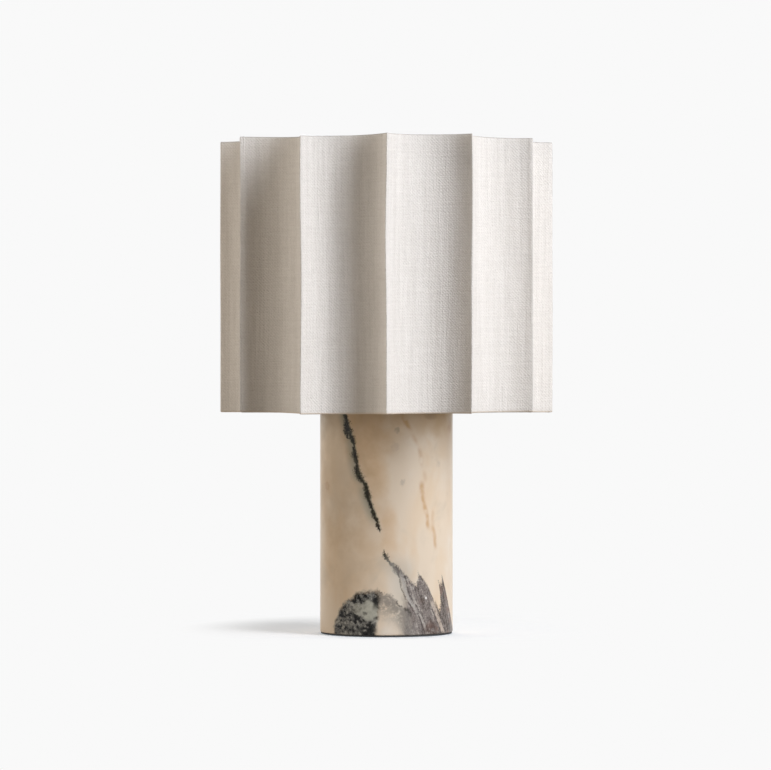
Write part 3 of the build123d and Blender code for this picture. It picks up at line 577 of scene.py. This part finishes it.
# Zinc-plated steel: the base plate and its screws, the stem with its nut and washer, the stud and
# the seat nut. Bright plating over rolled or turned steel, with a faint blue-grey bloom.
zinc = turned_metal("zinc_plated_steel", (0.60, 0.61, 0.62), (0.42, 0.44, 0.47),
                    polish=0.26, tarnish=0.7)
dress(zinc, "base_plate", "base_plate_screws", "board_screws", "stem_tube", "stem_washer", "stem_nut",
      "shade_stud", "seat_nut")

# Foot pad: a thin disc of dark rubber sheet, glued on from below, so that the lamp doesn't slide on
# a table or scratch it.


def moulded(name, colour, second, roughness, grain_scale, grain_depth):
    """A moulded plastic or rubber with a fine surface grain and a slight cloudiness."""
    material, tree, shader = new_finish(name)
    place = object_coordinates(tree)[0]
    grain = cloud(tree, place, grain_scale, 3.0, 0.6)
    bloom = cloud(tree, place, 55.0, 3.0, 0.55)
    feed(tree, shader.inputs["Base Color"], paint(tree, soft_step(tree, bloom, 0.35, 0.70), colour, second))
    roughen(tree, shader, grain, roughness - 0.08, 0.16)
    emboss(tree, shader, grain, 0.3, grain_depth)
    return material


rubber = moulded("black_rubber", (0.018, 0.017, 0.016), (0.030, 0.028, 0.026),
                 roughness=0.78, grain_scale=1800.0, grain_depth=0.0001)
dress(rubber, "foot_pad")

# Battery pack: two wrapped lithium cells in a black moulded holder, with nickel strips across
# their ends. It slides into the core from below and sits on the base plate.
holder_plastic = moulded("holder_plastic", (0.022, 0.022, 0.024), (0.034, 0.034, 0.036),
                         roughness=0.5, grain_scale=2200.0, grain_depth=0.00006)
dress(holder_plastic, "battery_holder")

wrap_blue = (0.05, 0.16, 0.27)
wrap_painted_sheen = (0.07, 0.22, 0.34)
wrap_band = (0.62, 0.62, 0.60)
band_height = 0.066
wrap, tree, shader = new_finish("cell_wrap")
east, north, up = object_coordinates(tree)[1:]
band = soft_step(tree, calc(tree, "ABSOLUTE", minus(tree, up, band_height)), 0.0022, 0.0018)
crease = cloud(tree, point(tree, east, north, times(tree, up, 0.2)), 420.0, 3.0, 0.6)
# The creases in the wrap are painted a lighter blue, a painted sheen.
body_colour = paint(tree, times(tree, crease, 0.35), wrap_blue, wrap_painted_sheen)
feed(tree, shader.inputs["Base Color"], paint(tree, band, body_colour, wrap_band))
emboss(tree, shader, crease, 0.2, 0.0001)
shader.inputs["Roughness"].default_value = 0.32
dress(wrap, "battery_cells")

nickel = turned_metal("bright_nickel", (0.72, 0.70, 0.66), (0.52, 0.50, 0.46),
                      polish=0.16, tarnish=0.5)
dress(nickel, "battery_contacts", "usb_socket")

# Boards: green solder mask over copper tracks, with black parts and ivory connectors soldered on.
# One is held by screws inside the core, and a small one carries the charging socket.
mask_green = (0.020, 0.125, 0.060)
mask_dark = (0.012, 0.085, 0.040)
mask, tree, shader = new_finish("solder_mask")
east, _, up = object_coordinates(tree)[1:]
cells = tree.nodes.new("ShaderNodeTexVoronoi")
cells.distance = "MANHATTAN"
cells.feature = "DISTANCE_TO_EDGE"
feed(tree, cells.inputs["Vector"], point(tree, east, 0.0, up))
feed(tree, cells.inputs["Scale"], 420.0)
track = soft_step(tree, cells.outputs["Distance"], 0.10, 0.16)
feed(tree, shader.inputs["Base Color"], paint(tree, track, mask_dark, mask_green))
emboss(tree, shader, track, 0.4, 0.00005)
shader.inputs["Roughness"].default_value = 0.34
dress(mask, "control_board", "port_board")

chip_black = moulded("chip_black", (0.016, 0.016, 0.017), (0.026, 0.026, 0.028),
                     roughness=0.55, grain_scale=3000.0, grain_depth=0.00004)
dress(chip_black, "board_components", "tact_switch", "usb_tongue")

ivory = moulded("ivory_nylon", (0.74, 0.71, 0.62), (0.68, 0.64, 0.54),
                roughness=0.46, grain_scale=2400.0, grain_depth=0.00004)
dress(ivory, "wire_connectors", "terminal_block", "switch_plunger", "seat_washer", "finial_washer")

# Wires: soft copper leads in white or red insulation, from board to port, battery and light. They
# are held inside the column.
white_wire = moulded("white_insulation", (0.70, 0.69, 0.66), (0.62, 0.61, 0.58),
                     roughness=0.42, grain_scale=1600.0, grain_depth=0.00005)
dress(white_wire, "port_lead", "led_lead")
red_wire = moulded("red_insulation", (0.42, 0.025, 0.02), (0.34, 0.02, 0.016),
                   roughness=0.42, grain_scale=1600.0, grain_depth=0.00005)
dress(red_wire, "battery_lead")

# Charging port: a fine-textured black bezel set on a flat milled in the stone, round the socket,
# a clear pin that shows the charge light, and the brass push button.
bezel_black = moulded("bezel_black", (0.020, 0.020, 0.021), (0.030, 0.030, 0.031),
                      roughness=0.6, grain_scale=2600.0, grain_depth=0.00012)
dress(bezel_black, "port_bezel")

clear, tree, shader = new_finish("clear_pin")
place = object_coordinates(tree)[0]
mist = cloud(tree, place, 900.0, 3.0, 0.6)
roughen(tree, shader, mist, 0.08, 0.15)
emboss(tree, shader, mist, 0.1, 0.00003)
shader.inputs["Base Color"].default_value = (0.90, 0.93, 0.91, 1.0)
shader.inputs["Transmission Weight"].default_value = 0.85
shader.inputs["IOR"].default_value = 1.49
dress(clear, "indicator_lens")

phosphor = moulded("phosphor_yellow", (0.80, 0.58, 0.12), (0.74, 0.52, 0.10),
                   roughness=0.35, grain_scale=2600.0, grain_depth=0.00003)
dress(phosphor, "indicator_chip", "light_chips")

# Light: a white powder-coated dish and lid hold an opal sleeve round a hexagonal aluminium core
# with a narrow white board of emitters on each flat.
powder = moulded("white_powder_coat", (0.78, 0.76, 0.72), (0.74, 0.72, 0.68),
                 roughness=0.46, grain_scale=1500.0, grain_depth=0.00010)
dress(powder, "light_dish", "light_lid")
extruded, tree, shader = new_finish("extruded_aluminium")
east, north, up = object_coordinates(tree)[1:]
drawn = cloud(tree, point(tree, east, north, times(tree, up, 0.02)), 2600.0, 2.0, 0.6)
feed(tree, shader.inputs["Base Color"], paint(tree, drawn, (0.70, 0.70, 0.71), (0.78, 0.78, 0.79)))
roughen(tree, shader, drawn, 0.24, 0.2)
shader.inputs["Metallic"].default_value = 1.0
dress(extruded, "light_core")
strip_white = moulded("strip_white", (0.80, 0.80, 0.78), (0.76, 0.76, 0.74),
                      roughness=0.42, grain_scale=2200.0, grain_depth=0.00003)
dress(strip_white, "light_strips")

opal, tree, shader = new_finish("opal_sleeve")
place = object_coordinates(tree)[0]
frost = cloud(tree, place, 1300.0, 3.0, 0.6)
milk = cloud(tree, place, 45.0, 2.0)
feed(tree, shader.inputs["Base Color"], paint(tree, milk, (0.84, 0.82, 0.77), (0.80, 0.78, 0.73)))
roughen(tree, shader, frost, 0.36, 0.15)
emboss(tree, shader, frost, 0.12, 0.00005)
shader.inputs["Subsurface Weight"].default_value = 0.6
shader.inputs["Subsurface Radius"].default_value = (0.004, 0.0035, 0.003)
dress(opal, "opal_sleeve")

# Shade linen: one length of slubby off-white linen twill, stretched over the fluted backing and
# folded tight at each ridge, with its edges turned over the rims. It was cut by hand, so the
# ridges end a little high or low.
flute_count = 12
half_flute = math.pi / flute_count
fold_radius = 0.8 * MM
least_bend = 0.02 * MM
flute_depth = 15.5 * MM
linen_low, linen_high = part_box("shade_linen")
shade_radius = (linen_high.y - linen_low.y) / 2
shade_bottom = linen_low.z
shade_height = linen_high.z - linen_low.z
cloth_thickness = 0.3 * MM
flute_steps = 28
fold_steps = 4
wall_steps = 44
fold_reach = shade_radius - fold_radius
flute_half_width = fold_reach * math.sin(half_flute)
flute_squares = flute_half_width ** 2 + flute_depth ** 2 - fold_radius ** 2
flute_radius = flute_squares / (2 * (flute_depth + fold_radius))
flute_centre = fold_reach * math.cos(half_flute) + flute_radius - flute_depth
rear_ridge = math.pi / 2

# How far each ridge ends above its true height, in millimetres, from the rear ridge round past
# the left, the front and the right.
top_lift = (0.0, 0.4, -0.3, 0.2, 0.5, -0.9, 0.0, 0.3, -0.4, -0.2, 0.3, -0.4)
bottom_lift = (0.0, -0.2, 0.3, 0.1, 0.8, -0.3, 0.0, 0.2, 0.8, 0.0, -0.2, 0.3)

# The cloth's section at the wall: how far in from the face, and how high, in millimetres. It turns
# over the backing at both rims.
rim_turn = ((1.5, -0.30), (1.0, -0.45), (0.60, -0.36), (0.34, 0.0), (0.25, 0.6))
wall_inset = 0.25 * MM
section = [(inset * MM, rise * MM) for inset, rise in rim_turn]
section += [(wall_inset, shade_height * step / wall_steps) for step in range(1, wall_steps)]
section += [(inset * MM, shade_height - rise * MM) for inset, rise in reversed(rim_turn)]


def cloth_outline(inset):
    """The shade's plan at an inset from its face: points, and the length of cloth up to each."""
    bend = max(fold_radius - inset, least_bend)
    reach = flute_radius + inset
    across = flute_centre * math.sin(half_flute)
    along = flute_centre * math.cos(half_flute)
    fold_at = along - math.sqrt(max((reach + bend) ** 2 - across ** 2, 0.0))
    flute_half = math.atan2(fold_at * math.sin(half_flute), flute_centre - fold_at * math.cos(half_flute))
    fold_half = math.atan2(across, along - fold_at)
    points = []
    lengths = []
    length = 0.0
    for flute in range(flute_count):
        middle = rear_ridge + (2 * flute + 1) * half_flute
        inward = Vector((-math.cos(middle), -math.sin(middle)))
        sideways = Vector((-math.sin(middle), math.cos(middle)))
        for step in range(flute_steps):
            turn = flute_half * (2 * step / flute_steps - 1)
            reached = inward * (math.cos(turn) * reach - flute_centre) + sideways * (math.sin(turn) * reach)
            points.append(reached)
            lengths.append(length + reach * (turn + flute_half))
        length += 2 * flute_half * reach
        ridge = middle + half_flute
        for step in range(fold_steps):
            turn = ridge + fold_half * (2 * step / fold_steps - 1)
            points.append(Vector((math.cos(ridge), math.sin(ridge))) * fold_at
                          + Vector((math.cos(turn), math.sin(turn))) * bend)
            lengths.append(length + bend * fold_half * 2 * step / fold_steps)
        length += 2 * fold_half * bend
    return points, lengths + [length]


def lift_at(column, lifts):
    """The unevenness of an edge at a column of the cloth, eased from ridge to ridge."""
    steps = flute_steps + fold_steps
    flute, step = divmod(column, steps)
    share = 0.5 - 0.5 * math.cos(math.pi * min(step / flute_steps, 1.0))
    before = lifts[flute % flute_count]
    after = lifts[(flute + 1) % flute_count]
    return (before + (after - before) * share) * MM


# Slow waves in the cloth. Each has its size in millimetres, its radians to the flute or to the metre
# along the cloth, and its radians to the metre up it.
ridge_leans = ((0.30, 2.4, 31), (0.18, 5.1, -58))
wall_ripples = ((0.12, 47, 9), (0.08, 131, -17), (0.05, 23, 61))
ripple_step = 0.01 * MM


def unevenness(waves, along, rise):
    """What several waves come to at a place along the cloth and up it."""
    return sum(size * math.sin(turns * along + climb * rise) for size, turns, climb in waves)


def ridge_wander(column, rise):
    """How far the cloth leans round the shade at a column and height, in radians."""
    flute = column / (flute_steps + fold_steps)
    return unevenness(ridge_leans, flute, rise) * MM / shade_radius


columns = flute_count * (flute_steps + fold_steps)
cloth_lengths = cloth_outline(0.0)[1]
vertices = []
for inset, rise in section:
    outlines = {}
    share = min(max(rise / shade_height, 0.0), 1.0)
    for column in range(columns):
        ripple = unevenness(wall_ripples, cloth_lengths[column], rise)
        depth = inset + ripple * math.sin(math.pi * share) * MM
        depth = round(depth / ripple_step) * ripple_step
        if depth not in outlines:
            outlines[depth] = cloth_outline(depth)[0]
        flat = outlines[depth][column].copy()
        flat.rotate(Matrix.Rotation(ridge_wander(column, rise), 2))
        lift = lift_at(column, bottom_lift) * (1 - share) + lift_at(column, top_lift) * share
        vertices.append((flat.x, flat.y, shade_bottom + rise + lift))
faces = []
face_columns = []
for row in range(len(section) - 1):
    for column in range(columns):
        after = (column + 1) % columns
        here = row * columns
        above = here + columns
        faces.append((here + column, here + after, above + after, above + column))
        face_columns.append((row, column))
linen_mesh = bpy.data.meshes.new("linen_cover")
linen_mesh.from_pydata(vertices, [], faces)
flat_cloth = linen_mesh.uv_layers.new(name="cloth")
for polygon, (row, column) in zip(linen_mesh.polygons, face_columns):
    corners = ((row, column), (row, column + 1), (row + 1, column + 1), (row + 1, column))
    for loop, (corner_row, corner_column) in zip(polygon.loop_indices, corners):
        flat_cloth.data[loop].uv = (cloth_lengths[corner_column], section[corner_row][1])
linen_cover = bpy.data.objects.new("linen_cover", linen_mesh)
bpy.context.scene.collection.objects.link(linen_cover)

# The sheet gets its thickness toward the backing.
bpy.ops.object.select_all(action="DESELECT")
linen_cover.select_set(True)
bpy.context.view_layer.objects.active = linen_cover
wall = linen_cover.modifiers.new("cloth", "SOLIDIFY")
wall.thickness = cloth_thickness
wall.offset = -1.0
bpy.ops.object.modifier_apply(modifier=wall.name)
bpy.ops.object.shade_smooth()

# The weave is a fine twill whose lines fall to the right. Thick and thin yarns give upright slubs
# and fainter level ones, and here and there a small knot stands out.
linen, tree, shader = new_finish("slubby_linen")
on_cloth = tree.nodes.new("ShaderNodeUVMap")
on_cloth.uv_map = "cloth"
split = tree.nodes.new("ShaderNodeSeparateXYZ")
feed(tree, split.inputs[0], on_cloth.outputs[0])
along, rise = split.outputs[0], split.outputs[1]


def yarns(per_metre_along, per_metre_up, detail, roughness):
    """Noise drawn out along the cloth or up it, by its cells to the metre each way."""
    stretched = point(tree, times(tree, along, per_metre_along), times(tree, rise, per_metre_up))
    return cloud(tree, stretched, 1.0, detail, roughness)


twill_pitch = 1.45 * MM
crossing_pitch = 1.9 * MM
wander = times(tree, minus(tree, yarns(330.0, 330.0, 3.0, 0.6), 0.5), 6.0)


def yarn_wave(way, pitch):
    """A wave from 0 to 1 across the cloth that wanders with the yarns."""
    phase = plus(tree, times(tree, way, 2 * math.pi / pitch), wander)
    return plus(tree, times(tree, calc(tree, "SINE", phase), 0.5), 0.5)


twill = mixture(tree, (yarn_wave(plus(tree, along, rise), twill_pitch * math.sqrt(2)), 0.65),
                (yarn_wave(minus(tree, along, rise), crossing_pitch), 0.35))
picks = mixture(tree, (yarns(1000.0, 1000.0, 2.0, 0.6), 0.5), (yarns(1100.0, 170.0, 2.0, 0.5), 0.25),
                (yarns(170.0, 1100.0, 2.0, 0.5), 0.25))
picks = soft_step(tree, picks, 0.36, 0.62)
warp_slub = soft_step(tree, yarns(400.0, 17.0, 4.0, 0.62), 0.30, 0.70)
warp_band = soft_step(tree, yarns(150.0, 5.0, 3.0, 0.6), 0.32, 0.68)
weft_slub = soft_step(tree, yarns(24.0, 640.0, 3.0, 0.6), 0.32, 0.70)
thick_yarn = soft_step(tree, yarns(330.0, 10.0, 2.0, 0.5), 0.64, 0.76)
knots = soft_step(tree, yarns(240.0, 130.0, 1.0, 0.5), 0.80, 0.85)
thick_yarn = calc(tree, "MAXIMUM", knots, thick_yarn)
flax_shade = (0.69, 0.63, 0.565)
flax_light = (0.89, 0.83, 0.767)
tone = mixture(tree, (picks, 0.38), (twill, 0.22), (warp_slub, 0.26), (warp_band, 0.20), (weft_slub, 0.14),
               (thick_yarn, 0.16))
cloth_colour = paint(tree, calc(tree, "MINIMUM", tone, 1.0), flax_shade, flax_light)

# Along the top rim a thin line is a little darker. The lower rim is painted a line of peach, a painted glow
# of the warm light thrown up from the stone and table.
hem_shade = (0.43, 0.375, 0.32)
hem_shade_strength = 0.5
rim_painted_glow = (0.745, 0.607, 0.473)
rim_painted_glow_strength = 0.6
top_hem = soft_step(tree, rise, shade_height - 0.35 * MM, shade_height + 0.1 * MM)
cloth_colour = paint(tree, times(tree, top_hem, hem_shade_strength), cloth_colour, hem_shade)
# Painted light: a warm glow along the lower rim.
lower_rim_glow = soft_step(tree, rise, 0.8 * MM, 0.2 * MM)
cloth_colour = paint(tree, times(tree, lower_rim_glow, rim_painted_glow_strength), cloth_colour, rim_painted_glow)
feed(tree, shader.inputs["Base Color"], cloth_colour)
weave = mixture(tree, (twill, 0.35), (picks, 0.45), (warp_slub, 0.50), (weft_slub, 0.25), (thick_yarn, 0.5))
emboss(tree, shader, weave, 0.7, 0.0004)
shader.inputs["Roughness"].default_value = 0.92
shader.inputs["Specular IOR Level"].default_value = 0.25
shader.inputs["Sheen Weight"].default_value = 0.12
shader.inputs["Sheen Roughness"].default_value = 0.5
linen_cover.data.materials.append(linen)
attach(linen_cover, "shade")
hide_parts("shade_linen")

# Shade liner: white styrene sheet, heat-formed to the flutes and bonded to the back of the cloth,
# which it keeps in shape.
liner_white = moulded("styrene_liner", (0.84, 0.82, 0.78), (0.80, 0.78, 0.74),
                      roughness=0.5, grain_scale=700.0, grain_depth=0.00008)
dress(liner_white, "shade_liner")

# Shade frame: white-coated steel wire, bent to the flutes at both rims, and three arms welded from
# the top ring to a pressed hub that drops over the stud.
frame_white = moulded("coated_wire", (0.76, 0.75, 0.72), (0.70, 0.69, 0.66),
                      roughness=0.62, grain_scale=1400.0, grain_depth=0.00008)
dress(frame_white, "top_ring", "bottom_ring", "spider_hub", "spider_arms")

# Studio floor: a seamless sweep. To the eye it is as white as the backdrop and keeps only the lamp's
# shadow, while it lights the lamp like matt paper, tan behind and at the left and dark in front.
backdrop_white = (0.947, 0.947, 0.947)
front_paper = (0.05, 0.035, 0.02)
tan_paper = (0.52, 0.46, 0.38)
shadow_paper = (0.846, 0.806, 0.761)
shadow_lift = (0.25, 0.285, 0.32)
shadow_middle = 0.045
shadow_stretch = 1.2
bpy.ops.object.select_all(action="DESELECT")
bpy.ops.mesh.primitive_plane_add(size=16.0, location=(0.0, 0.0, -0.3 * MM))
floor = bpy.context.object
floor.name = "studio_floor"
paper, tree, shader = new_finish("studio_paper")
east, north = object_coordinates(tree)[1:3]


def surface(tree, kind, colour, strength=None):
    """A plain shader of one kind and colour."""
    node = tree.nodes.new(kind)
    feed(tree, node.inputs["Color"], full_colour(colour))
    if strength is not None:
        feed(tree, node.inputs["Strength"], strength)
    return node.outputs[0]


def join(tree, kind, *given):
    """Mixes shaders by an amount, or adds them up."""
    node = tree.nodes.new(kind)
    for socket, value in zip(node.inputs, given):
        feed(tree, socket, value)
    return node.outputs[0]


def by_ray(tree, lighting, seen):
    """Lights the lamp by one shader and shows the eye, metal and glass another."""
    rays = tree.nodes.new("ShaderNodeLightPath").outputs
    mirrored = calc(tree, "MAXIMUM", rays["Is Glossy Ray"], rays["Is Transmission Ray"])
    looking = calc(tree, "MAXIMUM", rays["Is Camera Ray"], mirrored)
    return join(tree, "ShaderNodeMixShader", looking, lighting, seen)


back = calc(tree, "DIVIDE", minus(tree, north, shadow_middle), shadow_stretch)
near = times(tree, soft_step(tree, distance(tree, east, back), 0.14, 0.068),
             soft_step(tree, north, -0.075, -0.038))
behind_or_left = calc(tree, "MAXIMUM", soft_step(tree, north, -0.7, 0.2), soft_step(tree, east, 0.0, -0.4))
lighting = surface(tree, "ShaderNodeBsdfDiffuse", paint(tree, behind_or_left, front_paper, tan_paper))
lit_paper = join(tree, "ShaderNodeAddShader", surface(tree, "ShaderNodeBsdfDiffuse", shadow_paper),
                 surface(tree, "ShaderNodeEmission", shadow_lift))
white = surface(tree, "ShaderNodeEmission", backdrop_white)
seen = join(tree, "ShaderNodeMixShader", near, white, lit_paper)
tree.links.new(by_ray(tree, lighting, seen), tree.nodes["Material Output"].inputs["Surface"])
tree.nodes.remove(shader)
floor.data.materials.append(paper)

# Studio room: a white backdrop to the eye. A pale fill reaches the lamp from low behind, and almost
# nothing from the front.
front_fill = (1.0, 0.78, 0.58)
front_strength = 0.015
rear_fill = (1.0, 0.967, 0.929)
rear_strength = 1.06
world = bpy.data.worlds.new("studio")
bpy.context.scene.world = world
world.use_nodes = True
tree = world.node_tree
tree.nodes.remove(tree.nodes["Background"])
backward, upward = object_coordinates(tree)[2:]
low_behind = minus(tree, backward, times(tree, upward, 0.45))
lighting = join(tree, "ShaderNodeMixShader", soft_step(tree, low_behind, -0.25, 0.45),
                surface(tree, "ShaderNodeBackground", front_fill, front_strength),
                surface(tree, "ShaderNodeBackground", rear_fill, rear_strength))
seen = surface(tree, "ShaderNodeBackground", backdrop_white)
tree.links.new(by_ray(tree, lighting, seen), tree.nodes["World Output"].inputs["Surface"])

# Lights: one tall soft box to the right of the camera and above the lamp, and a weaker reflector card
# at the left.
aim = Vector((0.0, 0.0, 0.17))


def soft_light(name, turn, tilt, away, width, tall, power, colour):
    """A rectangular light that looks at the lamp from a bearing and a height, in degrees."""
    turn = math.radians(turn)
    tilt = math.radians(tilt)
    toward = Vector((math.sin(turn) * math.cos(tilt), -math.cos(turn) * math.cos(tilt), math.sin(tilt)))
    bpy.ops.object.light_add(type="AREA", location=aim + toward * away)
    light = bpy.context.object
    light.name = name
    light.rotation_euler = (-toward).to_track_quat("-Z", "Y").to_euler()
    light.data.shape = "RECTANGLE"
    light.data.size = width
    light.data.size_y = tall
    light.data.energy = power
    light.data.color = colour


soft_light("key_soft_box", turn=47.8, tilt=25, away=2.0, width=0.75, tall=2.1, power=46.2,
           colour=(0.985, 1.04, 1.127))
soft_light("left_card", turn=-77, tilt=8, away=1.5, width=1.2, tall=0.75, power=8.6,
           colour=(0.985, 0.945, 0.885))

# Camera: level, with a long lens, a little above the middle of the lamp, and shifted so that the lamp
# stands in the middle of the picture.
camera_distance = 2.60
camera_height = 0.173
bpy.ops.object.camera_add(location=(0.0, -camera_distance, camera_height), rotation=(math.pi / 2, 0.0, 0.0))
camera = bpy.context.object
camera.data.lens = 187.0
camera.data.sensor_width = 36.0
camera.data.sensor_fit = "HORIZONTAL"
camera.data.shift_x = -0.0012
camera.data.shift_y = -0.0244
bpy.context.scene.camera = camera
bpy.context.scene.view_settings.view_transform = "Standard"
